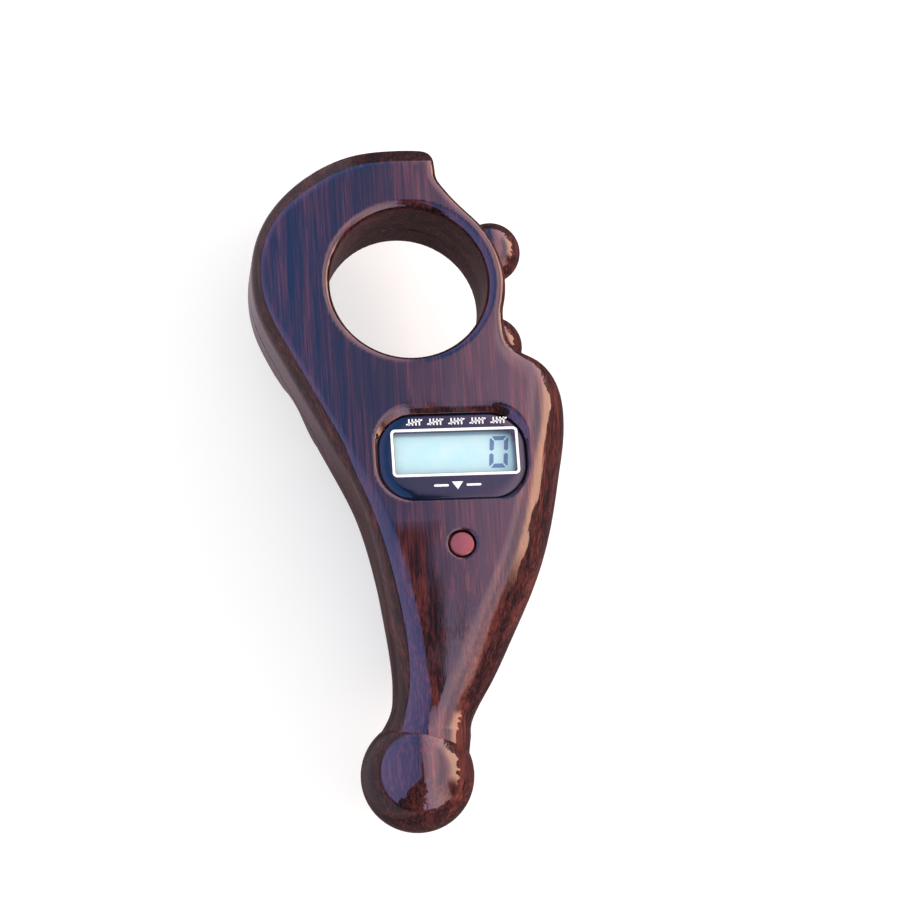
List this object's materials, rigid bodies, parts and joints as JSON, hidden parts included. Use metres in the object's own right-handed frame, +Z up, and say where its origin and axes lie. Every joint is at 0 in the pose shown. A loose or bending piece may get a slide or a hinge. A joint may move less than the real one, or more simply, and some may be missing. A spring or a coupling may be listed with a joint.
{
  "type": "hand tally counter",
  "caption": "Ring-shaped electronic hand tally counter with a finger hole, small liquid-crystal display, reset button, ball-shaped side push buttons and a ball-ended handle.",
  "frame": {"origin": "centre of the bounding box's bottom face, on the surface that the case's back rests on", "axes": "+Z up out of the display face, +Y along the case towards the finger hole, +X towards the side push buttons"},
  "size_m": [0.0471, 0.105, 0.023],
  "materials": {
    "case": "high gloss lacquer over a dark rosewood-look print",
    "panel_black": "gloss",
    "reset_red": "satin",
    "lcd_glass": "clear",
    "lcd_film": "pale blue-green film",
    "reflector": "matt foil",
    "frame_white": "matt",
    "elastomer": "matt",
    "board_green": "solder mask",
    "epoxy_black": "matt epoxy",
    "component": "ceramic",
    "flex_amber": "polyimide film",
    "switch_black": "matt",
    "plunger_white": "matt",
    "cell_steel": "nickel-plated",
    "contact_metal": "sprung strip",
    "holder_black": "matt",
    "screw_steel": "zinc-plated"
  },
  "bodies": {
    "case": {"battery_cell": "cell_steel", "battery_holder": "holder_black", "board_screws": "screw_steel", "bypass_capacitor": "component", "case_screws": "screw_steel", "chip_blob": "epoxy_black", "count_down_switch": "switch_black", "count_up_switch": "switch_black", "display_bezel": "panel_black", "end_ball": "case", "flex_connector": "frame_white", "front_shell": "case", "lcd_front_glass": "lcd_glass", "lcd_front_polarizer": "lcd_film", "lcd_holder": "frame_white", "lcd_rear_glass": "lcd_glass", "lcd_reflector": "reflector", "lower_zebra_strip": "elastomer", "main_board": "board_green", "negative_contact": "contact_metal", "positive_contact": "contact_metal", "rear_shell": "case", "reset_switch_body": "switch_black", "side_flex": "flex_amber", "timing_resistor": "epoxy_black", "upper_zebra_strip": "elastomer"},
    "count_up": {"count_up_button": "case", "count_up_plunger": "plunger_white"},
    "count_down": {"count_down_button": "case", "count_down_plunger": "plunger_white"},
    "reset": {"reset_button": "reset_red", "reset_switch_plunger": "plunger_white"},
    "door": {"battery_door": "case"}
  },
  "joints": [
    {"name": "count_up_press", "type": "slide", "parent": "case", "child": "count_up", "axis": [-0.891, -0.454, 0], "range_m": [0, 0.0003], "stiffness_N_per_m": 2500, "springref_m": -0.0002},
    {"name": "count_down_press", "type": "slide", "parent": "case", "child": "count_down", "axis": [-0.8387, 0.5446, 0], "range_m": [0, 0.0003], "stiffness_N_per_m": 2500, "springref_m": -0.0002},
    {"name": "reset_press", "type": "slide", "parent": "case", "child": "reset", "axis": [0, 0, -1], "range_m": [0, 0.0005], "stiffness_N_per_m": 2000, "springref_m": -0.0002},
    {"name": "door_turn", "type": "hinge", "parent": "case", "child": "door", "pos_m": [0.005, -0.0005, 0.001], "axis": [0, 0, 1], "range_deg": [0, 60]}
  ]
}
